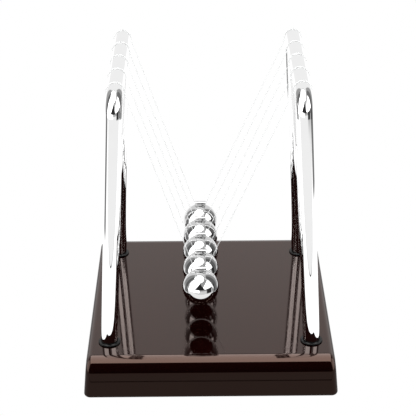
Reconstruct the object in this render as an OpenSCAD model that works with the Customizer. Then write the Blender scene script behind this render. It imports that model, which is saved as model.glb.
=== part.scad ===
// Newton's cradle: five steel balls in a touching row, each hung by one looped line from two
// chromed tube frames that stand on a lacquered board.
// +Z is up, +Y runs along the row of balls, +X across it. The origin is the middle of the
// board's footprint, on the desk.

/* [Base board] */
// Width of the board across the row, at its underside
base_w = 152; // [146:1:175]
// Depth of the board along the row, at its underside
base_d = 164; // [156:1:185]
// Thickness of the board
board_h = 24; // [22:0.5:30]
// Radius of the quarter-round along the board's front and rear top edges
nose_r = 10; // [6:0.5:12]
// Radius of the small rounding along every other top edge
edge_r = 4; // [1.5:0.5:4]
// Plan radius of the board's upright corners
corner_r = 4; // [2:0.5:6]
// Rounding round the board's foot
foot_r = 2; // [0.5:0.5:2]
// How far the board's left and right sides flare outwards from under the rounding to the foot
side_flare = 1.8; // [0:0.1:2]
// How far the board's front and rear flare outwards in the same way
end_flare = 1; // [0:0.1:2]
// How far the rubber feet hold the board off the desk
foot_stand = 1.5; // [1:0.5:3]

/* [Frames] */
// Outer diameter of the frame tube
tube_d = 10; // [9:0.5:11]
// Wall of the frame tube
tube_wall = 1; // [0.8:0.1:1.2]
// Half the distance between the left and right legs, where they meet the board
leg_x = 61; // [59:0.1:62]
// Half the distance between the front and rear legs
leg_y = 56.7; // [56.4:0.1:58]
// Half the distance between the two top bars
bar_x = 52.7; // [50:0.1:54]
// Height of the top bars' centre line above the desk
bar_z = 183; // [178:0.5:190]
// Centre-line radius of the bends between the legs and the top bar
bend_r = 11.7; // [10:0.1:11.7]

/* [Balls] */
// Diameter of a ball
ball_d = 22; // [21.5:0.1:22]
// Gap left between neighbouring balls
ball_gap = 0.2; // [0.15:0.05:0.4]
// Height of the balls' centres above the desk
ball_z = 56.2; // [54:0.1:64]
// How far the row hangs to one side of the middle
row_x = -5.7; // [-6:0.1:6]

/* [Lines and hangers] */
// Diameter of the clear nylon line
line_d = 0.5; // [0.4:0.05:0.6]
// Outer diameter of the small tube on top of each ball
hanger_d = 3.2; // [2.8:0.1:3.6]
// Length of the small tube
hanger_len = 7; // [6:0.5:8]
// Bore of the small tube
hanger_bore_d = 1.2; // [1:0.1:1.4]
// Angle below the horizontal at which a line leaves its top bar
tie_angle = 20; // [10:1:30]

/* [Hidden] */

$fn = 64;
ball_count = 5;
base_top = foot_stand + board_h;
ball_pitch = ball_d + ball_gap;

// Angle between neighbouring spheres along the quarter-round, and between the discs of the foot
nose_step = 9;
foot_step = 30;
foot_disc_h = 0.1;

// How far a cutting shape runs past the face that it cuts
cut = 1;

// Clearances across a diameter: loose, snug and pressed fits; and from a line to its neighbour
loose_gap = 0.2;
snug_gap = 0.1;
press_gap = 0.04;
line_gap = 0.03;

// Frames: each leans inwards about the points where its legs meet the board
lean = atan((leg_x - bar_x) / (bar_z - base_top));
leg_rise = (bar_z - base_top) / cos(lean);
bar_half = leg_y - bend_r;
socket_depth = 10;
socket_d = tube_d + loose_gap;

// Fastening under each leg, measured down the leg's own axis from the board's top
web_t = 8;
web_bottom = socket_depth + web_t;
counterbore_d = 10;
bolt_d = 4;
bolt_hole_d = 4.4;
washer_d = 9;
washer_t = 0.8;
head_d = 7.6;
head_h = 2.6;
screw_len = 20;
cross_w = 1;
cross_len = 4.2;
cross_depth = 1.5;
plug_len = 12;
plug_d = tube_d - 2 * tube_wall - press_gap;
plug_bore_d = 4.1;
plug_chamfer = 0.5;

// Rubber ring round the foot of each leg, lower at its outer edge
collar_r = (tube_d + snug_gap) / 2;
collar_w = 1.6;
collar_h = 1;
collar_step = 0.4;

// Rubber feet in shallow seats in the underside
pad_d = 12;
pad_seat_d = pad_d + loose_gap;
pad_sink = 1;
pad_step = 0.5;
pad_side_inset = 34;
pad_end_inset = 16;
pad_x = base_w / 2 - pad_side_inset;
pad_y = base_d / 2 - pad_end_inset;

// Hangers lie in a shallow groove across the top of each ball
hanger_sink = 0.35;
hanger_z = ball_z + ball_d / 2 + hanger_d / 2 - hanger_sink;

// Lines: each rises from just outside its hanger's ends to a bead beside each top bar
tie_r = (tube_d + line_d) / 2 + line_gap;
bead_d = 1.2;
bead_r = (tube_d + bead_d) / 2 + line_gap;
tie_x = bar_x - bead_r * cos(tie_angle);
tie_z = bar_z - bead_r * sin(tie_angle);
bead_seat_d = bead_d + snug_gap;
turn_d = line_d + 2 * line_gap;
turn_x = (hanger_len + turn_d) / 2 + snug_gap;

function ball_y(i) = (i - (ball_count + 1) / 2) * ball_pitch;

// ---------- board ----------

// One corner of the board: small spheres along the quarter-round, and discs round the foot
module board_corner(x, y) {
    side_x = base_w / 2 - side_flare - edge_r;
    nose_y = base_d / 2 - end_flare - nose_r;
    for (a = [0 : nose_step : 90])
        translate([x * side_x, y * (nose_y + (nose_r - edge_r) * cos(a)),
                   base_top - nose_r + (nose_r - edge_r) * sin(a)])
            sphere(r = edge_r, $fn = 24);
    for (a = [0 : foot_step : 90])
        translate([x * (base_w / 2 - corner_r), y * (base_d / 2 - corner_r), foot_stand + foot_r * (1 - sin(a))])
            cylinder(r = corner_r - foot_r * (1 - cos(a)), h = foot_disc_h, $fn = 32);
}

// Block with a rounded nose along its front and rear, a little wider at its underside
module board_blank() {
    flat_w = base_w - 2 * (side_flare + edge_r);
    flat_d = base_d - 2 * (end_flare + nose_r);
    hull() {
        for (x = [-1, 1], y = [-1, 1]) board_corner(x, y);
        translate([-flat_w / 2, -flat_d / 2, base_top - edge_r]) cube([flat_w, flat_d, edge_r]);
    }
}

// Puts its children at a leg's foot, with +Z along the leg
module at_leg(x, y) {
    translate([x * leg_x, y * leg_y, base_top]) rotate([0, -x * lean, 0]) children();
}

module at_legs() {
    for (x = [-1, 1], y = [-1, 1]) at_leg(x, y) children();
}

module leg_holes() {
    at_legs() {
        translate([0, 0, -socket_depth]) cylinder(d = socket_d, h = socket_depth + cut);
        translate([0, 0, -web_bottom - cut]) cylinder(d = bolt_hole_d, h = web_t + 2 * cut);
        translate([0, 0, -web_bottom - board_h]) cylinder(d = counterbore_d, h = board_h);
    }
}

module at_pads() {
    for (x = [-1, 1], y = [-1, 1]) translate([x * pad_x, y * pad_y, 0]) children();
}

module base_board() {
    color("#3b1a15") difference() {
        board_blank();
        leg_holes();
        at_pads() cylinder(d = pad_seat_d, h = foot_stand + pad_sink);
    }
}

module foot_pads() {
    color("#1b1b1b") at_pads() {
        translate([0, 0, pad_step]) cylinder(d = pad_d, h = foot_stand + pad_sink - pad_step);
        cylinder(d = pad_d - 2 * pad_step, h = pad_step);
    }
}

// ---------- frames ----------

module tube_ring() {
    difference() {
        circle(d = tube_d);
        circle(d = tube_d - 2 * tube_wall);
    }
}

// Bent tube in its own upright plane: two legs, two bends and the top bar
module bent_tube() {
    leg_len = leg_rise - bend_r + socket_depth;
    for (y = [-1, 1]) {
        translate([0, y * leg_y, -socket_depth]) linear_extrude(leg_len) tube_ring();
        translate([0, y * bar_half, leg_rise - bend_r]) rotate([0, -90, 0])
            rotate_extrude(angle = y * 90) translate([bend_r, 0]) tube_ring();
    }
    translate([0, -bar_half, leg_rise]) rotate([-90, 0, 0]) linear_extrude(2 * bar_half) tube_ring();
}

// Right-hand frame, standing in its sockets and leaning inwards
module right_frame() {
    color("#d9dcde") translate([leg_x, 0, base_top]) rotate([0, -lean, 0]) bent_tube();
}

module left_frame() {
    mirror([1, 0, 0]) right_frame();
}

module leg_collars() {
    color("#0d0d0d") for (x = [-1, 1], y = [-1, 1]) difference() {
        translate([x * leg_x, y * leg_y, base_top]) {
            cylinder(r = collar_r + collar_w, h = collar_h / 2);
            cylinder(r = collar_r + collar_w - collar_step, h = collar_h);
        }
        at_leg(x, y) translate([0, 0, -cut]) cylinder(r = collar_r, h = collar_h + 2 * cut);
    }
}

// ---------- fastening under the legs ----------

module leg_plugs() {
    color("#8d9094") at_legs() translate([0, 0, -socket_depth]) difference() {
        union() {
            cylinder(d = plug_d, h = plug_len - plug_chamfer);
            translate([0, 0, plug_len - plug_chamfer])
                cylinder(d1 = plug_d, d2 = plug_d - 2 * plug_chamfer, h = plug_chamfer);
        }
        translate([0, 0, -cut]) cylinder(d = plug_bore_d, h = plug_len + 2 * cut);
    }
}

module leg_washers() {
    color("#b9bcc0") at_legs() translate([0, 0, -web_bottom - washer_t]) difference() {
        cylinder(d = washer_d, h = washer_t);
        translate([0, 0, -cut]) cylinder(d = bolt_hole_d, h = washer_t + 2 * cut);
    }
}

module leg_screws() {
    head_bottom = web_bottom + washer_t + head_h;
    color("#a9adb2") at_legs() translate([0, 0, -head_bottom]) difference() {
        union() {
            cylinder(d = head_d, h = head_h);
            cylinder(d = bolt_d, h = head_h + screw_len);
        }
        for (turn = [0, 90]) rotate([0, 0, turn]) translate([-cross_len / 2, -cross_w / 2, -cut])
            cube([cross_len, cross_w, cross_depth + cut]);
    }
}

// ---------- balls, hangers and lines ----------

// A tube's outside along X, at the middle of ball i's hanger
module hanger_rod(i, d, len) {
    translate([row_x - len / 2, ball_y(i), hanger_z]) rotate([0, 90, 0]) cylinder(d = d, h = len);
}

module ball(i) {
    color("#c8ccd0") difference() {
        translate([row_x, ball_y(i), ball_z]) sphere(d = ball_d, $fn = 96);
        hanger_rod(i, hanger_d, hanger_len);
    }
}

module hanger(i) {
    color("#d6d8da") difference() {
        hanger_rod(i, hanger_d, hanger_len);
        hanger_rod(i, hanger_bore_d, hanger_len + 2 * cut);
    }
}

// Straight stretch of line between two points of the X-Z plane
module line_run(from, to) {
    run = to - from;
    translate([from[0], 0, from[1]]) rotate([0, atan2(run[0], run[1]), 0])
        cylinder(d = line_d, h = norm(run), $fn = 24);
}

module line_ball(at, d) {
    translate([at[0], 0, at[1]]) sphere(d = d, $fn = 32);
}

// One line: through the hanger, and up to a bead at each side
module line(i) {
    color("#eef2f2") translate([0, ball_y(i), 0]) {
        line_run([row_x - turn_x, hanger_z], [row_x + turn_x, hanger_z]);
        for (side = [-1, 1]) {
            turn = [row_x + side * turn_x, hanger_z];
            tie = [side * tie_x, tie_z];
            line_run(turn, tie);
            line_ball(turn, turn_d);
            line_ball(tie, bead_d);
        }
    }
}

// The turns of line round the right-hand top bar, each open where its bead sits
module right_ties() {
    color("#eef2f2") for (i = [1:ball_count]) translate([bar_x, ball_y(i), bar_z]) difference() {
        rotate([90, 0, 0]) rotate_extrude() translate([tie_r, 0]) circle(d = line_d, $fn = 24);
        translate([tie_x - bar_x, 0, tie_z - bar_z]) sphere(d = bead_seat_d, $fn = 32);
    }
}

module left_ties() {
    mirror([1, 0, 0]) right_ties();
}

base_board();
foot_pads();
left_frame();
right_frame();
leg_collars();
leg_plugs();
leg_screws();
leg_washers();
left_ties();
right_ties();
ball(1);  // ball_1
ball(2);  // ball_2
ball(3);  // ball_3
ball(4);  // ball_4
ball(5);  // ball_5
hanger(1);  // hanger_1
hanger(2);  // hanger_2
hanger(3);  // hanger_3
hanger(4);  // hanger_4
hanger(5);  // hanger_5
line(1);  // line_1
line(2);  // line_2
line(3);  // line_3
line(4);  // line_4
line(5);  // line_5
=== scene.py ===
import math

import bmesh
import bpy
from mathutils import Matrix, Vector


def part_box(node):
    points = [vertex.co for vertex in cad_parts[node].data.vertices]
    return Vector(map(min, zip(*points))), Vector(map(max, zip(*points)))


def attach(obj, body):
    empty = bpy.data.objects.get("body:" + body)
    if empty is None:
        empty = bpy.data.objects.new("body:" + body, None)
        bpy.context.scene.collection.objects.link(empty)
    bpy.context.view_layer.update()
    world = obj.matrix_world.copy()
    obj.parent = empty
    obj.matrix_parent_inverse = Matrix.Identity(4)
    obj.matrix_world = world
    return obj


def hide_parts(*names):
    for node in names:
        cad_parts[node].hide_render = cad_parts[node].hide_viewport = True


# The looks of a Newton's cradle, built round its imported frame. Lengths are metres, +Z is up,
# +Y runs along the row of balls and -Y is the front.

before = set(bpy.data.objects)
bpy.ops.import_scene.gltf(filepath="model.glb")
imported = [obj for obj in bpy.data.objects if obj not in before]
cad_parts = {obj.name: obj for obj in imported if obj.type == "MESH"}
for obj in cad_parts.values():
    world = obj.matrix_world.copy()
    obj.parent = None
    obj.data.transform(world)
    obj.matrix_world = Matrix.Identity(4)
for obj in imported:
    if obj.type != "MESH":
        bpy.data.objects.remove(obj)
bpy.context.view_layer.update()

MM = 0.001
SIDES = {"left": -1, "right": 1}
BALLS = range(1, 6)

# ---------- sizes ----------
# Places come from the frame's boxes. These are the sizes that a box can't give.

TUBE_R = 5 * MM
TUBE_WALL = 1 * MM
BEND_R = 11.7 * MM
SOCKET_DEPTH = 10 * MM
SOCKET_R = 5.1 * MM
NOSE_R = 10 * MM
EDGE_R = 4 * MM
FOOT_EDGE_R = 2 * MM
SIDE_FLARE = 1.8 * MM
END_FLARE = 1 * MM
LINE_R = 0.25 * MM
KNOT_R = 0.6 * MM
HANGER_BORE_R = 0.6 * MM
COLLAR_R = 5.05 * MM

BOARD_LO, BOARD_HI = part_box("base_board")
BASE_TOP = BOARD_HI.z
COLLARS_LO, COLLARS_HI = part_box("leg_collars")
COLLAR_OUTER_R = COLLAR_R + 1.6 * MM
LEG_X = COLLARS_HI.x - COLLAR_OUTER_R
LEG_Y = COLLARS_HI.y - COLLAR_OUTER_R
FRAME_LO, FRAME_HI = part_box("right_frame")
BAR_X = FRAME_LO.x + TUBE_R
BAR_Z = FRAME_HI.z - TUBE_R
LEAN = math.atan2(LEG_X - BAR_X, BAR_Z - BASE_TOP)
LEG_RISE = math.hypot(LEG_X - BAR_X, BAR_Z - BASE_TOP)


# ---------- mesh helpers ----------

def ring(centre, across, up, radius, count):
    """Points round a circle in the plane of two unit vectors."""
    turns = [2 * math.pi * i / count for i in range(count)]
    return [centre + across * (radius * math.cos(a)) + up * (radius * math.sin(a)) for a in turns]


def skin(rings, closed=False, caps=False):
    """Vertices and faces of a surface through rings of equal length, joined end to end if closed."""
    count = len(rings[0])
    verts = [p for loop in rings for p in loop]
    faces = []
    last = len(rings) if closed else len(rings) - 1
    for i in range(last):
        a, b = i * count, (i + 1) % len(rings) * count
        for j in range(count):
            k = (j + 1) % count
            faces.append((a + j, a + k, b + k, b + j))
    if caps:
        faces.append(tuple(range(count))[::-1])
        faces.append(tuple(range(len(verts) - count, len(verts))))
    return verts, faces


def merge(*parts):
    """One list of vertices and one of faces from several."""
    verts, faces = [], []
    for part_verts, part_faces in parts:
        start = len(verts)
        verts += part_verts
        faces += [tuple(start + i for i in face) for face in part_faces]
    return verts, faces


def lathe(profile, place, count=64, closed=True):
    """Turns a profile of (radius, height) points about the Z axis of the matrix place."""
    x, y = place.to_3x3() @ Vector((1, 0, 0)), place.to_3x3() @ Vector((0, 1, 0))
    rings = [ring(place @ Vector((0, 0, h)), x, y, r, count) for r, h in profile]
    return skin(rings, closed=closed, caps=not closed)


def sweep(path, radius, count=16, caps=True):
    """A round rod of one radius along a path of points."""
    ways = []
    for i in range(len(path)):
        before, after = path[max(i - 1, 0)], path[min(i + 1, len(path) - 1)]
        ways.append((after - before).normalized())
    across = ways[0].orthogonal().normalized()
    rings = []
    for point, way in zip(path, ways):
        across = (across - way * across.dot(way)).normalized()
        rings.append(ring(point, across, way.cross(across), radius, count))
    return skin(rings, caps=caps)


def arc(centre, radius, start, end, steps):
    """(x, y) points of an arc, with angles in degrees."""
    angles = [math.radians(start + (end - start) * i / steps) for i in range(steps + 1)]
    return [(centre[0] + radius * math.cos(a), centre[1] + radius * math.sin(a)) for a in angles]


def mesh_of(shape, name="shape"):
    """A mesh from (vertices, faces), with its normals turned outwards."""
    verts, faces = shape
    mesh = bpy.data.meshes.new(name)
    mesh.from_pydata(verts, [], faces)
    bm = bmesh.new()
    bm.from_mesh(mesh)
    bmesh.ops.recalc_face_normals(bm, faces=bm.faces)
    bm.to_mesh(mesh)
    bm.free()
    return mesh


def make(name, shape, material, sharp=35):
    """A smooth-shaded object with creases where faces meet at more than sharp degrees."""
    return finish_mesh(name, mesh_of(shape, name), material, sharp)


def finish_mesh(name, mesh, material, sharp=35):
    """An object in the scene from a mesh, shaded as in make."""
    mesh.shade_smooth()
    mesh.set_sharp_from_angle(angle=math.radians(sharp))
    mesh.materials.clear()
    mesh.materials.append(material)
    piece = bpy.data.objects.new(name, mesh)
    bpy.context.scene.collection.objects.link(piece)
    return piece


def cut(mesh, shape):
    """The mesh with closed shapes taken out of it, as a new mesh."""
    cutter = bpy.data.objects.new("cutter", mesh_of(shape))
    blank = bpy.data.objects.new("blank", mesh)
    for thing in (cutter, blank):
        bpy.context.scene.collection.objects.link(thing)
    saw = blank.modifiers.new("cut", "BOOLEAN")
    saw.operation = "DIFFERENCE"
    saw.solver = "EXACT"
    saw.object = cutter
    graph = bpy.context.evaluated_depsgraph_get()
    result = bpy.data.meshes.new_from_object(blank.evaluated_get(graph))
    bpy.data.objects.remove(blank)
    bpy.data.objects.remove(cutter)
    return result


def place(piece, body, slot, *nodes):
    """Rides a piece on its body and stands it in for its CAD nodes. slot is not used."""
    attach(piece, body)
    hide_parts(*nodes)


# ---------- material helpers ----------

class Graph:
    """A short way to write a node tree. Methods return the new node's output socket."""

    def __init__(self, tree):
        self.tree = tree
        tree.nodes.clear()

    def node(self, kind, **settings):
        made = self.tree.nodes.new(kind)
        for name, value in settings.items():
            setattr(made, name, value)
        return made

    def feed(self, socket, value):
        if isinstance(value, bpy.types.NodeSocket):
            self.tree.links.new(value, socket)
        elif value is not None:
            socket.default_value = value

    def calc(self, operation, a, b=None):
        made = self.node("ShaderNodeMath", operation=operation)
        self.feed(made.inputs[0], a)
        self.feed(made.inputs[1], b)
        return made.outputs[0]

    def point(self, stretch=(1, 1, 1)):
        """The shaded point in the frame, scaled by stretch."""
        where = self.node("ShaderNodeTexCoord").outputs["Object"]
        made = self.node("ShaderNodeMapping", vector_type="POINT")
        self.feed(made.inputs["Vector"], where)
        self.feed(made.inputs["Scale"], stretch)
        return made.outputs[0]

    def noise(self, point, size, detail=3.0, roughness=0.5):
        """Noise from 0 to 1 with features of about size metres."""
        made = self.node("ShaderNodeTexNoise")
        self.feed(made.inputs["Vector"], point)
        self.feed(made.inputs["Scale"], 1 / size)
        self.feed(made.inputs["Detail"], detail)
        self.feed(made.inputs["Roughness"], roughness)
        return made.outputs["Fac"]

    def remap(self, value, from_lo, from_hi, to_lo=0.0, to_hi=1.0, kind="SMOOTHSTEP"):
        """Value carried smoothly from one range to another, and held at the ends."""
        made = self.node("ShaderNodeMapRange", interpolation_type=kind)
        for socket, given in zip(made.inputs, (value, from_lo, from_hi, to_lo, to_hi)):
            self.feed(socket, given)
        return made.outputs[0]

    def mix(self, share, a, b):
        """Colour a at share 0 and b at share 1."""
        made = self.node("ShaderNodeMix", data_type="RGBA")
        self.feed(made.inputs[0], share)
        self.feed(made.inputs[6], a)
        self.feed(made.inputs[7], b)
        return made.outputs[2]

    def blend(self, share, a, b):
        """Number a at share 0 and b at share 1."""
        made = self.node("ShaderNodeMix", data_type="FLOAT")
        self.feed(made.inputs[0], share)
        self.feed(made.inputs[2], a)
        self.feed(made.inputs[3], b)
        return made.outputs[0]

    def bump(self, height, depth):
        """Normal of a surface that rises by depth metres where height goes from 0 to 1."""
        made = self.node("ShaderNodeBump")
        self.feed(made.inputs["Distance"], depth)
        self.feed(made.inputs["Height"], height)
        return made.outputs[0]


def surface(name, **inputs):
    """A material with one Principled shader, and its Graph and shader for further links."""
    material = bpy.data.materials.new(name)
    material.use_nodes = True
    graph = Graph(material.node_tree)
    shader = graph.node("ShaderNodeBsdfPrincipled")
    output = graph.node("ShaderNodeOutputMaterial")
    graph.feed(output.inputs["Surface"], shader.outputs[0])
    for socket, value in inputs.items():
        graph.feed(shader.inputs[socket.replace("_", " ")], value)
    return material, graph, shader


def grey(level):
    """An RGBA grey of a linear level."""
    return (level, level, level, 1)


# ---------- materials ----------

def lacquered_board():
    """Mahogany-brown gloss lacquer: faint long grain under a coat with a slight orange peel."""
    dark_grain = (0.0040, 0.0005, 0.0004, 1)
    pale_grain = (0.0062, 0.0008, 0.0006, 1)
    even_brown = (0.0050, 0.0006, 0.0005, 1)
    warm_gloss = (1.0, 0.64, 0.52, 1)
    material, graph, shader = surface("lacquered_board", IOR=1.5)
    grain = graph.noise(graph.point((1, 0.06, 1)), 1.6 * MM, detail=6, roughness=0.65)
    cloud = graph.noise(graph.point(), 30 * MM, detail=2)
    tone = graph.mix(graph.remap(grain, 0.35, 0.7), dark_grain, pale_grain)
    tone = graph.mix(graph.remap(cloud, 0.3, 0.7, 0.0, 0.5), tone, even_brown)
    graph.feed(shader.inputs["Base Color"], tone)
    graph.feed(shader.inputs["Specular Tint"], warm_gloss)
    smears = graph.noise(graph.point(), 14 * MM, detail=4, roughness=0.6)
    graph.feed(shader.inputs["Roughness"], graph.remap(smears, 0.35, 0.75, 0.03, 0.075))
    peel = graph.noise(graph.point(), 5 * MM, detail=1)
    graph.feed(shader.inputs["Normal"], graph.bump(peel, 0.006 * MM))
    return material


def chrome(name, level, roughness, wave_depth):
    """Bright metal plating: faint waviness, and haze that comes and goes along it."""
    material, graph, shader = surface(name, Metallic=1.0)
    haze = graph.noise(graph.point(), 9 * MM, detail=5, roughness=0.6)
    graph.feed(shader.inputs["Base Color"], graph.mix(haze, grey(level * 0.96), grey(level)))
    graph.feed(shader.inputs["Roughness"], graph.remap(haze, 0.3, 0.75, roughness * 0.5, roughness))
    wave = graph.noise(graph.point(), 7 * MM, detail=1)
    graph.feed(shader.inputs["Normal"], graph.bump(wave, wave_depth))
    return material


def turned_steel(name, level, roughness, groove, tint=(1, 1, 1)):
    """Machined steel with fine marks round its axis and a slightly uneven finish."""
    bright = tuple(level * t for t in tint) + (1,)
    dull = tuple(0.8 * level * t for t in tint) + (1,)
    material, graph, shader = surface(name, Metallic=1.0)
    marks = graph.noise(graph.point((1, 0.1, 0.1)), groove, detail=4, roughness=0.7)
    cloud = graph.noise(graph.point(), 2 * MM, detail=3)
    graph.feed(shader.inputs["Base Color"], graph.mix(graph.remap(cloud, 0.3, 0.7), dull, bright))
    graph.feed(shader.inputs["Roughness"], graph.remap(marks, 0.3, 0.7, roughness * 0.6, roughness))
    graph.feed(shader.inputs["Normal"], graph.bump(marks, 0.001 * MM))
    return material


def nylon_line():
    """Clear monofilament: see-through in its middle, milky towards its edges, with a faint painted glow."""
    cloudy_white = (0.80, 0.82, 0.82, 1)
    bright_white = (0.92, 0.93, 0.93, 1)
    material, graph, shader = surface("nylon_line", IOR=1.5)
    milk = graph.noise(graph.point(), 1.5 * MM, detail=2)
    graph.feed(shader.inputs["Base Color"], graph.mix(milk, cloudy_white, bright_white))
    graph.feed(shader.inputs["Roughness"], graph.remap(milk, 0.3, 0.7, 0.10, 0.22))
    rim = graph.node("ShaderNodeLayerWeight").outputs["Facing"]
    graph.feed(shader.inputs["Alpha"], graph.remap(rim, 0.0, 1.0, 0.30, 0.85))
    # Painted glow: a faint white emission brightens the line, though it is no lamp.
    graph.feed(shader.inputs["Emission Color"], (1.0, 1.0, 1.0, 1))
    graph.feed(shader.inputs["Emission Strength"], 0.3)
    return material


def rubber(name, level, roughness, grain_size, grain_depth, shine):
    """Black moulded rubber: fine grain, and dust-grey patches."""
    material, graph, shader = surface(name, Specular_IOR_Level=shine)
    dust = graph.noise(graph.point(), 3 * MM, detail=4, roughness=0.65)
    tone = graph.mix(graph.remap(dust, 0.45, 0.8), grey(level), grey(level * 2.2))
    graph.feed(shader.inputs["Base Color"], tone)
    graph.feed(shader.inputs["Roughness"], graph.remap(dust, 0.3, 0.7, roughness * 0.8, roughness))
    grain = graph.noise(graph.point(), grain_size, detail=2)
    graph.feed(shader.inputs["Normal"], graph.bump(grain, grain_depth))
    return material


LACQUER = lacquered_board()
CHROME = chrome("chrome_tube", level=0.94, roughness=0.003, wave_depth=0.004 * MM)
BALL_STEEL = chrome("polished_ball", level=0.66, roughness=0.003, wave_depth=0.001 * MM)
HANGER_STEEL = turned_steel("hanger_steel", level=0.54, roughness=0.003, groove=0.25 * MM)
PLAIN_STEEL = turned_steel("plain_steel", level=0.45, roughness=0.35, groove=0.2 * MM)
ZINC_STEEL = turned_steel("zinc_steel", level=0.62, roughness=0.30, groove=0.2 * MM, tint=(0.96, 0.99, 1.0))
NYLON = nylon_line()
COLLAR_RUBBER = rubber("collar_rubber", level=0.003, roughness=0.45, grain_size=0.3 * MM,
                       grain_depth=0.004 * MM, shine=0.15)
FOOT_RUBBER = rubber("foot_rubber", level=0.020, roughness=0.75, grain_size=0.25 * MM,
                     grain_depth=0.02 * MM, shine=0.4)


# ---------- board ----------

def leg_place(x_side, y_side, height=0.0):
    """Matrix with +Z up a leg's axis, height metres along it from the board's top."""
    foot = Matrix.Translation((x_side * LEG_X, y_side * LEG_Y, BASE_TOP))
    return foot @ Matrix.Rotation(-x_side * LEAN, 4, "Y") @ Matrix.Translation((0, 0, height))


def four_corners():
    return [(x_side, y_side) for x_side in (-1, 1) for y_side in (-1, 1)]


# Fastening under each leg. WEB_BOTTOM is the depth of the wood that a screw clamps, from the
# board's top.
BOLT_HOLE_R = 2.2 * MM
COUNTERBORE_R = 5 * MM
WEB_BOTTOM = 18 * MM
WASHER_T = 0.8 * MM
SCREW_HEAD_H = 2.6 * MM
SCREW_R = 2 * MM
PAD_SEAT_GAP = 0.1 * MM
PADS_LO, PADS_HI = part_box("foot_pads")
PAD_R = 6 * MM
PAD_X = PADS_HI.x - PAD_R
PAD_Y = PADS_HI.y - PAD_R


# Fineness of the roundings: steps in each nose, and degrees a step at the sides and the foot
NOSE_STEPS = 30
SIDE_TURN = 9
FOOT_TURN = 15


def board_blank():
    """Block with a round nose along its front and rear, and small roundings elsewhere.
    A grid of its middle section's outline, carried over the rounded sides, then closed
    by flat sides, a rolled edge round the foot and the flat underside."""
    half_w, half_d = BOARD_HI.x - SIDE_FLARE, BOARD_HI.y - END_FLARE
    foot_z = BOARD_LO.z + FOOT_EDGE_R
    outline = [(-half_d, foot_z, 180)]
    for way, start, end in ((-1, 180, 90), (1, 90, 0)):
        nose = arc((way * (half_d - NOSE_R), BASE_TOP - NOSE_R), NOSE_R, start, end, NOSE_STEPS)
        for i, (y, z) in enumerate(nose):
            outline.append((y, z, start + (end - start) * i / NOSE_STEPS))
    outline.append((half_d, foot_z, 0))
    columns = [(-1, tilt) for tilt in range(-90, 1, SIDE_TURN)]
    columns += [(1, tilt) for tilt in range(0, 91, SIDE_TURN)]

    def point(row, column, inset=0.0, drop=0.0):
        """A grid point, moved in by inset and down by drop."""
        y, z, angle = outline[row]
        side, tilt = columns[column]
        facing, across = math.radians(angle), math.radians(tilt)
        pulled = EDGE_R * (1 - math.cos(across))
        x = side * (half_w - EDGE_R) + (EDGE_R - inset) * math.sin(across)
        y -= math.cos(facing) * (pulled + inset * math.cos(across))
        return Vector((x, y, z - math.sin(facing) * pulled - drop))

    rows, wide = len(outline), len(columns)
    verts = [point(row, column) for row in range(rows) for column in range(wide)]
    faces = [(r * wide + c, r * wide + c + 1, (r + 1) * wide + c + 1, (r + 1) * wide + c)
             for r in range(rows - 1) for c in range(wide - 1)]
    faces += [[r * wide for r in range(rows)], [r * wide + wide - 1 for r in reversed(range(rows))]]
    rim = [(0, c) for c in range(wide)] + [(rows - 1, c) for c in reversed(range(wide))]
    before = [row * wide + column for row, column in rim]
    for angle in range(FOOT_TURN, 91, FOOT_TURN):
        inset = FOOT_EDGE_R * (1 - math.cos(math.radians(angle)))
        drop = FOOT_EDGE_R * math.sin(math.radians(angle))
        after = [len(verts) + i for i in range(len(rim))]
        verts += [point(row, column, inset, drop) for row, column in rim]
        faces += [(before[i - 1], before[i], after[i], after[i - 1]) for i in range(len(rim))]
        before = after
    faces.append(before)
    height = BASE_TOP - BOARD_LO.z
    for v in verts:
        drop = BASE_TOP - v.z
        v.x *= 1 + max(0, (drop - EDGE_R) / (height - EDGE_R)) * SIDE_FLARE / half_w
        v.y *= 1 + max(0, (drop - NOSE_R) / (height - NOSE_R)) * END_FLARE / half_d
    return mesh_of((verts, faces))


def board_holes():
    """Stepped holes for the legs and their screws, and the seats of the feet."""
    above, below = 2 * MM, -BOARD_HI.z - 5 * MM
    steps = [(SOCKET_R, above), (SOCKET_R, -SOCKET_DEPTH), (BOLT_HOLE_R, -SOCKET_DEPTH),
             (BOLT_HOLE_R, -WEB_BOTTOM), (COUNTERBORE_R, -WEB_BOTTOM), (COUNTERBORE_R, below)]
    holes = [lathe(steps, leg_place(*corner), closed=False) for corner in four_corners()]
    seat = [(PAD_R + PAD_SEAT_GAP, -PADS_HI.z), (PAD_R + PAD_SEAT_GAP, PADS_HI.z)]
    for x_side, y_side in four_corners():
        centre = Matrix.Translation((x_side * PAD_X, y_side * PAD_Y, 0))
        holes.append(lathe(seat, centre, closed=False))
    return merge(*holes)


def build_board():
    """The drilled board, shaded so that its large faces look flat."""
    mesh = cut(board_blank(), board_holes())
    piece = finish_mesh("lacquered_board", mesh, LACQUER)
    normals = piece.modifiers.new("even_normals", "WEIGHTED_NORMAL")
    normals.keep_sharp = True
    place(piece, "stand", "lacquered_board", "base_board")


# ---------- frames ----------

TUBE_SIDES = 96


def frame_path():
    """(y, rise) points of the tube's centre line in its leaning plane, one foot to the other."""
    leg_steps, bend_steps, bar_steps = 12, 32, 6
    turn_y, turn_rise = LEG_Y - BEND_R, LEG_RISE - BEND_R
    leg = [(LEG_Y, -SOCKET_DEPTH + (turn_rise + SOCKET_DEPTH) * i / leg_steps) for i in range(leg_steps)]
    bend = arc((turn_y, turn_rise), BEND_R, 0, 90, bend_steps)
    bar = [(turn_y * (1 - i / bar_steps), LEG_RISE) for i in range(1, bar_steps)]
    half = leg + bend + bar
    return half + [(0, LEG_RISE)] + [(-y, rise) for y, rise in reversed(half)]


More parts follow.
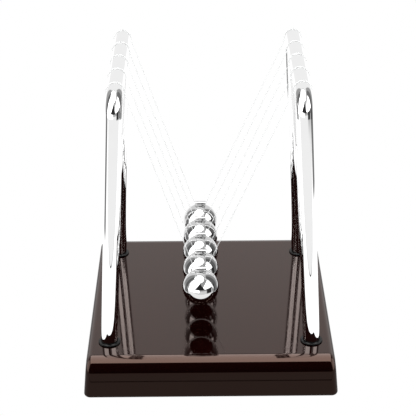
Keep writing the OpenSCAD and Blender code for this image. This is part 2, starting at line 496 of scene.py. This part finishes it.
def build_frame(name, side):
    """Bent tube with open ends: outer and inner walls joined by rounded rims."""
    lean_up = Vector((-side * math.sin(LEAN), 0, math.cos(LEAN)))
    foot = Vector((side * LEG_X, 0, BASE_TOP))
    out = lean_up.cross(Vector((0, 1, 0)))
    path = [foot + Vector((0, y, 0)) + lean_up * rise for y, rise in frame_path()]
    last = len(path) - 1
    ways = [(path[min(i + 1, last)] - path[max(i - 1, 0)]).normalized() for i in range(last + 1)]

    def hoop(i, radius, shift=0.0):
        """A ring round the tube at path point i, moved along it by shift."""
        return ring(path[i] + ways[i] * shift, out, out.cross(ways[i]), radius, TUBE_SIDES)

    rim = 0.25 * MM
    outer = [hoop(i, TUBE_R) for i in range(1, last)]
    inner = [hoop(i, TUBE_R - TUBE_WALL) for i in range(1, last)]
    start = [hoop(0, TUBE_R - TUBE_WALL, rim), hoop(0, TUBE_R - TUBE_WALL + rim), hoop(0, TUBE_R - rim),
             hoop(0, TUBE_R, rim)]
    end = [hoop(last, TUBE_R, -rim), hoop(last, TUBE_R - rim), hoop(last, TUBE_R - TUBE_WALL + rim),
           hoop(last, TUBE_R - TUBE_WALL, -rim)]
    shape = skin(start + outer + end + inner[::-1], closed=True)
    piece = make(name, shape, CHROME)
    place(piece, "stand", "chrome_tube", f"{name.split('_')[0]}_frame")


def build_collars():
    """Rubber rings round the feet of the legs, with a rolled outer edge."""
    height = COLLARS_HI.z - COLLARS_LO.z
    roll = height * 0.6
    profile = [(COLLAR_R, 0), (COLLAR_OUTER_R, 0)]
    profile += arc((COLLAR_OUTER_R - roll, height - roll), roll, 0, 90, 8)
    profile += [(COLLAR_R, height)]
    shapes = []
    for x_side, y_side in four_corners():
        verts, faces = lathe(profile, Matrix.Translation((x_side * LEG_X, y_side * LEG_Y, BASE_TOP)))
        for v in verts:
            v.x -= x_side * (v.z - BASE_TOP) * math.tan(LEAN)
        shapes.append((verts, faces))
    piece = make("foot_rings", merge(*shapes), COLLAR_RUBBER)
    place(piece, "stand", "collar_rubber", "leg_collars")


# ---------- fastening and feet ----------

def build_plugs():
    """Bored plugs in the ends of the tubes."""
    plug_r, bore_r, length = 3.98 * MM, 2.05 * MM, 12 * MM
    chamfer, mouth = 0.5 * MM, 0.2 * MM
    profile = [(bore_r, mouth), (bore_r + mouth, 0), (plug_r, 0), (plug_r, length - chamfer),
               (plug_r - chamfer, length), (bore_r + mouth, length), (bore_r, length - mouth)]
    shapes = [lathe(profile, leg_place(*corner, -SOCKET_DEPTH)) for corner in four_corners()]
    piece = make("tube_plugs", merge(*shapes), PLAIN_STEEL)
    place(piece, "stand", "plain_steel", "leg_plugs")


def build_washers():
    """Flat washers with eased edges, between the screw heads and the board."""
    washer_r, bore_r, edge = 4.5 * MM, BOLT_HOLE_R, 0.12 * MM
    lower = [(bore_r, edge), (bore_r + edge, 0), (washer_r - edge, 0), (washer_r, edge)]
    profile = lower + [(r, WASHER_T - h) for r, h in reversed(lower)]
    shapes = [lathe(profile, leg_place(*corner, -WEB_BOTTOM - WASHER_T)) for corner in four_corners()]
    piece = make("screw_washers", merge(*shapes), ZINC_STEEL)
    place(piece, "stand", "zinc_steel", "leg_washers")


def screw_shape(spot):
    """Pan-head screw, head down, with a helical thread. spot is at the head's outer face."""
    head_r, core_r, flat_r, dome, edge = 3.8 * MM, 1.68 * MM, 1.9 * MM, 1.3 * MM, 0.15 * MM
    length, pitch, point = 20 * MM, 0.7 * MM, 1.5 * MM
    count, steps = 32, 8
    x, y = spot.to_3x3() @ Vector((1, 0, 0)), spot.to_3x3() @ Vector((0, 1, 0))

    def loop(radius, height):
        return ring(spot @ Vector((0, 0, height)), x, y, radius, count)

    rings = [loop(flat_r, 0)]
    rings += [loop(head_r - dome + r, dome - h) for r, h in arc((0, 0), dome, 90, 0, 8)]
    rings += [loop(head_r, SCREW_HEAD_H - edge), loop(head_r - edge, SCREW_HEAD_H)]
    rings += [loop(SCREW_R, SCREW_HEAD_H)]
    for i in range(int(length / pitch * steps)):
        reach = i * pitch / steps
        height = SCREW_HEAD_H + reach
        taper = min(1.0, (length - reach) / point)
        points = []
        for j in range(count):
            phase = (i / steps - j / count) % 1
            crest = 1 - abs(2 * phase - 1)
            radius = (core_r + (SCREW_R - core_r) * crest) * (0.75 + 0.25 * taper)
            turn = 2 * math.pi * j / count
            points.append(spot @ Vector((radius * math.cos(turn), radius * math.sin(turn), height)))
        rings.append(points)
    return skin(rings, caps=True)


def cross_recess(spot):
    """The closed, tapering cross that a screwdriver fits, one arm after another."""
    wing, half = 2.1 * MM, 0.5 * MM
    above_head, depth = 1 * MM, 1.5 * MM
    arm = [(wing, -half), (wing, half), (half, half)]
    outline = []
    for quarter in range(4):
        outline += arm
        arm = [(-y, x) for x, y in arm]
    rings = []
    for height, size in ((-above_head, 1.15), (0, 1.0), (depth, 0.55)):
        rings.append([spot @ Vector((x * size, y * size, height)) for x, y in outline])
    return skin(rings, caps=True)


def build_screws():
    """The four screws, each with its cross recess cut in."""
    head_face = -WEB_BOTTOM - WASHER_T - SCREW_HEAD_H
    spots = [leg_place(*corner, head_face) for corner in four_corners()]
    blank = mesh_of(merge(*[screw_shape(spot) for spot in spots]))
    mesh = cut(blank, merge(*[cross_recess(spot) for spot in spots]))
    piece = finish_mesh("pan_head_screws", mesh, ZINC_STEEL)
    place(piece, "stand", "zinc_steel", "leg_screws")


def build_feet():
    """Round rubber feet with a rounded rim and a shallow moulded ring in the sole."""
    edge, groove, groove_depth, slope = 0.5 * MM, 3.2 * MM, 0.25 * MM, 0.2 * MM
    groove_end = groove + 1.2 * MM
    middle = 0.001 * MM
    profile = [(middle, 0), (groove, 0), (groove + slope, groove_depth), (groove_end - slope, groove_depth)]
    profile += [(groove_end, 0), *arc((PAD_R - edge, edge), edge, -90, 0, 6)]
    profile += [(PAD_R, PADS_HI.z), (middle, PADS_HI.z)]
    shapes = []
    for x_side, y_side in four_corners():
        centre = Matrix.Translation((x_side * PAD_X, y_side * PAD_Y, 0))
        shapes.append(lathe(profile, centre, closed=False))
    piece = make("rubber_feet", merge(*shapes), FOOT_RUBBER)
    place(piece, "stand", "foot_rubber", "foot_pads")


# ---------- balls, hangers and lines ----------

BALL_CUTS = 59
LINE_SIDES = 16


def ball_middle(i):
    """Centre and radius of ball i. Its box is cut by the hanger's groove at the top only."""
    low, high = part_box(f"ball_{i}")
    radius = (high.y - low.y) / 2
    return Vector(((low.x + high.x) / 2, (low.y + high.y) / 2, low.z + radius)), radius


def hanger_middle(i):
    """Centre, radius and half length of hanger i."""
    low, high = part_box(f"hanger_{i}")
    return (low + high) / 2, (high.z - low.z) / 2, (high.x - low.x) / 2


def build_ball(i):
    """Sphere of even quads, dished where its hanger lies in it."""
    centre, radius = ball_middle(i)
    rod, rod_r, rod_half = hanger_middle(i)
    bm = bmesh.new()
    bmesh.ops.create_cube(bm, size=2)
    bmesh.ops.subdivide_edges(bm, edges=bm.edges, cuts=BALL_CUTS, use_grid_fill=True)
    for v in bm.verts:
        even = Vector([math.tan(c * math.pi / 4) for c in v.co])
        v.co = centre + even.normalized() * radius
        over, up = v.co.y - rod.y, v.co.z - rod.z
        if math.hypot(over, up) < rod_r and abs(v.co.x - rod.x) < rod_half:
            v.co.z = rod.z - math.sqrt(rod_r ** 2 - over ** 2)
    mesh = bpy.data.meshes.new(f"polished_ball_{i}")
    bm.to_mesh(mesh)
    bm.free()
    piece = finish_mesh(f"polished_ball_{i}", mesh, BALL_STEEL, sharp=50)
    place(piece, f"swing_{i}", "polished_ball", f"ball_{i}")


def build_hanger(i):
    """Short turned tube with eased edges, its bore flared at the mouths."""
    centre, radius, half = hanger_middle(i)
    edge, flare = 0.2 * MM, 0.25 * MM
    corner = arc((radius - edge, half - edge), edge, 0, 90, 4)
    mouth = arc((HANGER_BORE_R + flare, half - flare), flare, 90, 180, 4)
    upper = corner + mouth
    lower = [(r, -h) for r, h in reversed(upper)]
    along_x = Matrix.Translation(centre) @ Matrix.Rotation(math.pi / 2, 4, "Y")
    piece = make(f"line_tube_{i}", lathe(lower + upper, along_x, count=72), HANGER_STEEL)
    place(piece, f"swing_{i}", "hanger_steel", f"hanger_{i}")


def knot(centre, size, side):
    """A small overhand knot: a line along a trefoil."""
    steps, sides, line = 60, 10, LINE_R * 0.9
    reach = (size - line) / 3
    points = []
    for i in range(steps):
        t = 2 * math.pi * i / steps
        u = reach * (math.sin(t) + 2 * math.sin(2 * t))
        v = reach * (math.cos(t) - 2 * math.cos(2 * t))
        w = -reach * 1.2 * math.sin(3 * t)
        points.append(centre + Vector((side * w, u, v)))
    rings = []
    for i, point in enumerate(points):
        way = (points[(i + 1) % steps] - points[i - 1]).normalized()
        across = way.cross(point - centre).normalized()
        rings.append(ring(point, across, way.cross(across), line, sides))
    return skin(rings, closed=True)


def eased_path(points, radius, steps=8):
    """A path through points with its inner corners rounded off over radius."""
    path = [points[0]]
    for before, corner, after in zip(points, points[1:], points[2:]):
        start = corner + (before - corner).normalized() * radius
        end = corner + (after - corner).normalized() * radius
        for i in range(steps + 1):
            t = i / steps
            path.append(start * (1 - t) ** 2 + corner * (2 * t * (1 - t)) + end * t ** 2)
    path.append(points[-1])
    return path


def tie_points(i):
    """The two points, left and right, where line i meets its knots."""
    low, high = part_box(f"line_{i}")
    row = (low.y + high.y) / 2
    return [Vector((low.x + KNOT_R, row, high.z - KNOT_R)), Vector((high.x - KNOT_R, row, high.z - KNOT_R))]


def build_line(i):
    """One V of line, through its hanger and up to a knot at each bar."""
    centre, radius, half = hanger_middle(i)
    left, right = tie_points(i)
    mouths = [centre - Vector((half, 0, 0)), centre + Vector((half, 0, 0))]
    bend = 0.8 * MM
    path = eased_path([left, *mouths, right], bend)
    shape = merge(sweep(path, LINE_R, LINE_SIDES), knot(left, KNOT_R, -1), knot(right, KNOT_R, 1))
    piece = make(f"nylon_line_{i}", shape, NYLON, sharp=60)
    place(piece, f"swing_{i}", "nylon_line", f"line_{i}")


def build_turns(name, side):
    """The turn of each line round a top bar, starting and ending beside its knot."""
    steps, slack = 96, 0.02 * MM
    pitch = 2.2 * LINE_R
    shapes = []
    for i in BALLS:
        tie = tie_points(i)[(side + 1) // 2]
        bar = Vector((side * BAR_X, tie.y, BAR_Z))
        start = math.atan2(tie.z - bar.z, tie.x - bar.x)
        reach = TUBE_R + LINE_R + slack
        path = []
        for step in range(steps + 1):
            share = step / steps
            turn = start + 2 * math.pi * share
            drift = (share - 0.5) * pitch
            path.append(bar + Vector((reach * math.cos(turn), drift, reach * math.sin(turn))))
        shapes.append(sweep(path, LINE_R, LINE_SIDES))
    piece = make(name, merge(*shapes), NYLON, sharp=60)
    place(piece, "stand", "nylon_line", f"{name.split('_')[0]}_ties")


build_board()
for side_name, side_sign in SIDES.items():
    build_frame(f"{side_name}_chrome_tube", side_sign)
    build_turns(f"{side_name}_line_turns", side_sign)
build_collars()
build_plugs()
build_washers()
build_screws()
build_feet()
for ball_number in BALLS:
    build_ball(ball_number)
    build_hanger(ball_number)
    build_line(ball_number)


# ---------- studio ----------
# The camera sees plain white all round. Mirror-sharp metal sees one studio and everything else
# a second one, so that steel can show its soft boxes while the lacquer stays dark.
# Azimuth 0 is towards the camera and grows to the right. Angles are degrees. The capitals that
# follow are light levels, where 1 shows as pure white.

PAPER = 1.0
BACKDROP = 1.15
TABLE = 0.93
FAR_TABLE = 1.12
SIDE_WALL = 0.20
REAR_WALL = 0.45
DARK = 0.04
BLACK = 0.02
SOFT_BOX = 4.0
OVERHEAD = 5.5
NEAR_SHEET = 1.25
LACQUER_FLOOR = 0.46
LACQUER_BACKDROP = 1.3
LACQUER_SIDE_BOX = 3.0
LACQUER_OVERHEAD = 6.0


def band(graph, value, low, high, soft):
    """1 where value lies between low and high, falling to 0 over soft at each side."""
    rise = graph.remap(value, low - soft, low + soft)
    fall = graph.remap(value, high - soft, high + soft, 1.0, 0.0)
    return graph.calc("MULTIPLY", rise, fall)


class Sky:
    """A direction taken apart: azimuth, its size as spread, elevation as rise, and over_x and
    over_y, where it meets a plane 1 unit overhead. Masks are 1 inside and 0 outside."""

    def __init__(self, graph, way):
        self.graph = graph
        parts = graph.node("ShaderNodeSeparateXYZ")
        graph.feed(parts.inputs[0], way)
        x, y, z = parts.outputs
        self.rise = graph.calc("DEGREES", graph.calc("ARCSINE", z))
        self.azimuth = graph.calc("DEGREES", graph.calc("ARCTAN2", x, graph.calc("MULTIPLY", y, -1.0)))
        self.spread = graph.calc("ABSOLUTE", self.azimuth)
        self.over_x, self.over_y = graph.calc("DIVIDE", x, z), graph.calc("DIVIDE", y, z)
        self.above = graph.remap(z, 0.05, 0.1)

    def patch(self, az_low, az_high, low, high, soft=3.0, soft_rise=3.0):
        """A box between two azimuths and two elevations."""
        across = band(self.graph, self.azimuth, az_low, az_high, soft)
        return self.graph.calc("MULTIPLY", across, band(self.graph, self.rise, low, high, soft_rise))

    def gable(self, az_middle, half_foot, low, high, soft=2.0):
        """A triangle that stands on elevation low and ends in a point at high."""
        graph = self.graph
        half = graph.remap(self.rise, low, high, half_foot, 0.0, "LINEAR")
        beside = graph.calc("ABSOLUTE", graph.calc("SUBTRACT", self.azimuth, az_middle))
        inside = graph.remap(graph.calc("SUBTRACT", beside, half), -soft, soft, 1.0, 0.0)
        return graph.calc("MULTIPLY", inside, band(graph, self.rise, low, high, soft))

    def overhead_disc(self, x, y, radius, soft):
        """A disc on the overhead plane."""
        graph = self.graph
        dx = graph.calc("SUBTRACT", self.over_x, x)
        dy = graph.calc("SUBTRACT", self.over_y, y)
        squares = graph.calc("ADD", graph.calc("MULTIPLY", dx, dx), graph.calc("MULTIPLY", dy, dy))
        inside = graph.remap(graph.calc("SQRT", squares), radius - soft, radius + soft, 1.0, 0.0)
        return graph.calc("MULTIPLY", inside, self.above)

    def overhead_box(self, half_x, y_low, y_high, soft):
        """A rectangle on the overhead plane."""
        across = band(self.graph, self.over_x, -half_x, half_x, soft)
        along = band(self.graph, self.over_y, y_low, y_high, soft)
        return self.graph.calc("MULTIPLY", self.graph.calc("MULTIPLY", across, along), self.above)


def metal_studio(sky, level):
    """What mirrors see. Its layers are laid over level, from first to last: walls at both sides,
    their nearest parts darker, a soft box at each side, a round lamp overhead with a grey rim,
    and the dark gap where the camera stands."""
    wall_edge, lamp_edge = 0.4, 0.03
    lamp_x, lamp_y, lamp_r, rim_r = -0.18, -0.25, 0.54, 0.60
    beyond_slot = sky.graph.remap(sky.over_x, 0.74, 0.80)
    right_box = sky.graph.calc("MULTIPLY", sky.patch(20, 87, 10, 90), beyond_slot)
    layers = [
        (sky.patch(-114, -83, -24.7, 57, soft_rise=wall_edge), SIDE_WALL),
        (sky.patch(86, 124, -23.1, 60, soft_rise=wall_edge), SIDE_WALL),
        (sky.patch(-134, -110, -12, 57), REAR_WALL),
        (sky.patch(120, 138, -12, 60), REAR_WALL),
        (sky.patch(76, 98, -20, 18), DARK),
        (sky.patch(38, 70, -19, 14), DARK),
        (sky.patch(-83, -8, -10, 76, 2.0), SOFT_BOX),
        (right_box, SOFT_BOX),
        (sky.overhead_disc(lamp_x, lamp_y, rim_r, lamp_edge), SIDE_WALL),
        (sky.overhead_disc(lamp_x, lamp_y, lamp_r, lamp_edge), OVERHEAD),
        (sky.gable(-5, 33, 6, 50), DARK),
    ]
    for mask, value in layers:
        level = sky.graph.blend(mask, level, value)
    return level


def lacquer_studio(sky):
    """What everything else sees: a pale backdrop that ends in black above, black in front, and
    lights beside and overhead."""
    graph = sky.graph
    level = graph.remap(sky.spread, 55.0, 65.0, BLACK, LACQUER_BACKDROP)
    behind = graph.remap(sky.spread, 100.0, 110.0)
    above_backdrop = band(graph, sky.rise, 36.5, 60.0, 1.0)
    layers = [
        (graph.calc("MULTIPLY", behind, above_backdrop), BLACK),
        (sky.patch(68, 112, -20, 45), LACQUER_SIDE_BOX),
        (sky.patch(-112, -68, -20, 45), LACQUER_SIDE_BOX),
        (sky.overhead_box(0.62, -0.34, 1.12, 0.03), LACQUER_OVERHEAD),
    ]
    for mask, value in layers:
        level = graph.blend(mask, level, value)
    return level


def by_ray(graph, metal, other):
    """The level that suits the ray: plain white for the camera's own, and next to none for the
    board as metal mirrors it."""
    path = graph.node("ShaderNodeLightPath")
    mirrored = graph.calc("GREATER_THAN", path.outputs["Glossy Depth"], 1.5)
    other = graph.blend(mirrored, other, DARK)
    level = graph.blend(path.outputs["Is Singular Ray"], other, metal)
    return graph.blend(path.outputs["Is Camera Ray"], level, PAPER)


def build_world():
    """The studio in every direction that the floor doesn't fill."""
    world = bpy.data.worlds.new("studio")
    bpy.context.scene.world = world
    world.use_nodes = True
    graph = Graph(world.node_tree)
    sky = Sky(graph, graph.node("ShaderNodeTexCoord").outputs["Generated"])
    metal = metal_studio(sky, graph.remap(sky.spread, 100.0, 125.0, 0.60, BACKDROP))
    light = graph.node("ShaderNodeBackground")
    graph.feed(light.inputs["Strength"], by_ray(graph, metal, lacquer_studio(sky)))
    output = graph.node("ShaderNodeOutputWorld")
    graph.feed(output.inputs["Surface"], light.outputs[0])


FLOOR_REACH = 4.0
FLOOR_Z = -0.2 * MM
SHEET_EDGE_Y = -200 * MM
SHEET_SLANT = 0.1
EDGE_SHADOW_LINE = 1.5 * MM
STRIP_Y = BOARD_LO.y - 26.5 * MM
STRIP_HALF = 0.6 * MM


def sheet_levels(graph):
    """The floor's two levels. To mirrors it is brightest between the board and the sheet's front
    edge, along which runs a thin painted shadow line. To all else it is even, with one thin dark strip."""
    parts = graph.node("ShaderNodeSeparateXYZ")
    graph.feed(parts.inputs[0], graph.node("ShaderNodeTexCoord").outputs["Object"])
    x, y = parts.outputs[0], parts.outputs[1]
    slanted = graph.calc("SUBTRACT", y, graph.calc("MULTIPLY", x, SHEET_SLANT))
    past = graph.calc("SUBTRACT", slanted, SHEET_EDGE_Y)
    metal = graph.remap(past, -2 * MM, 2 * MM, TABLE, NEAR_SHEET)
    metal = graph.blend(graph.remap(y, 0, 0.2), metal, FAR_TABLE)
    # Painted shadow: a thin dark line along the sheet's front edge, seen only by mirrors.
    metal = graph.blend(band(graph, past, -EDGE_SHADOW_LINE, EDGE_SHADOW_LINE, 1 * MM), metal, DARK)
    strip = band(graph, y, STRIP_Y - STRIP_HALF, STRIP_Y + STRIP_HALF, 0.4 * MM)
    return metal, graph.blend(strip, LACQUER_FLOOR, DARK)


def build_floor():
    """A pale sheet just under the feet, seen through from below."""
    corners = [(x * FLOOR_REACH, y * FLOOR_REACH, FLOOR_Z) for x, y in ((-1, -1), (1, -1), (1, 1), (-1, 1))]
    mesh = bpy.data.meshes.new("floor")
    mesh.from_pydata(corners, [], [(0, 1, 2, 3)])
    floor = bpy.data.objects.new("floor", mesh)
    bpy.context.scene.collection.objects.link(floor)
    material = bpy.data.materials.new("paper")
    material.use_nodes = True
    graph = Graph(material.node_tree)
    metal, other = sheet_levels(graph)
    shape = graph.node("ShaderNodeNewGeometry")
    way = graph.node("ShaderNodeVectorMath", operation="SCALE")
    graph.feed(way.inputs[0], shape.outputs["Incoming"])
    graph.feed(way.inputs["Scale"], -1.0)
    metal = metal_studio(Sky(graph, way.outputs[0]), metal)
    light = graph.node("ShaderNodeEmission")
    graph.feed(light.inputs["Strength"], by_ray(graph, metal, other))
    sides = graph.node("ShaderNodeMixShader")
    graph.feed(sides.inputs[0], shape.outputs["Backfacing"])
    graph.feed(sides.inputs[1], light.outputs[0])
    graph.feed(sides.inputs[2], graph.node("ShaderNodeBsdfTransparent").outputs[0])
    output = graph.node("ShaderNodeOutputMaterial")
    graph.feed(output.inputs["Surface"], sides.outputs[0])
    mesh.materials.append(material)


CAMERA_LENS = 119.64
CAMERA_SPOT = Vector((-3.9, -769.7, 469.2)) * MM
CAMERA_DOWN = math.radians(26.40)
CAMERA_SWING = math.radians(0.234)
CAMERA_ROLL = math.radians(-0.363)


def build_camera():
    """Long lens, in front of the row and well above it, looking down along it."""
    level_ahead = Vector((math.sin(CAMERA_SWING), math.cos(CAMERA_SWING), 0))
    ahead = level_ahead * math.cos(CAMERA_DOWN) - Vector((0, 0, math.sin(CAMERA_DOWN)))
    right = Vector((math.cos(CAMERA_SWING), -math.sin(CAMERA_SWING), 0))
    up = right.cross(ahead)
    rolled_right = right * math.cos(CAMERA_ROLL) + up * math.sin(CAMERA_ROLL)
    rolled_up = up * math.cos(CAMERA_ROLL) - right * math.sin(CAMERA_ROLL)
    turn = Matrix((rolled_right, rolled_up, -ahead)).transposed().to_4x4()
    data = bpy.data.cameras.new("camera")
    data.lens = CAMERA_LENS
    data.clip_start, data.clip_end = 0.01, 20
    camera = bpy.data.objects.new("camera", data)
    camera.matrix_world = Matrix.Translation(CAMERA_SPOT) @ turn
    bpy.context.scene.collection.objects.link(camera)
    bpy.context.scene.camera = camera


build_world()
build_floor()
build_camera()
bpy.context.scene.view_settings.view_transform = "Standard"
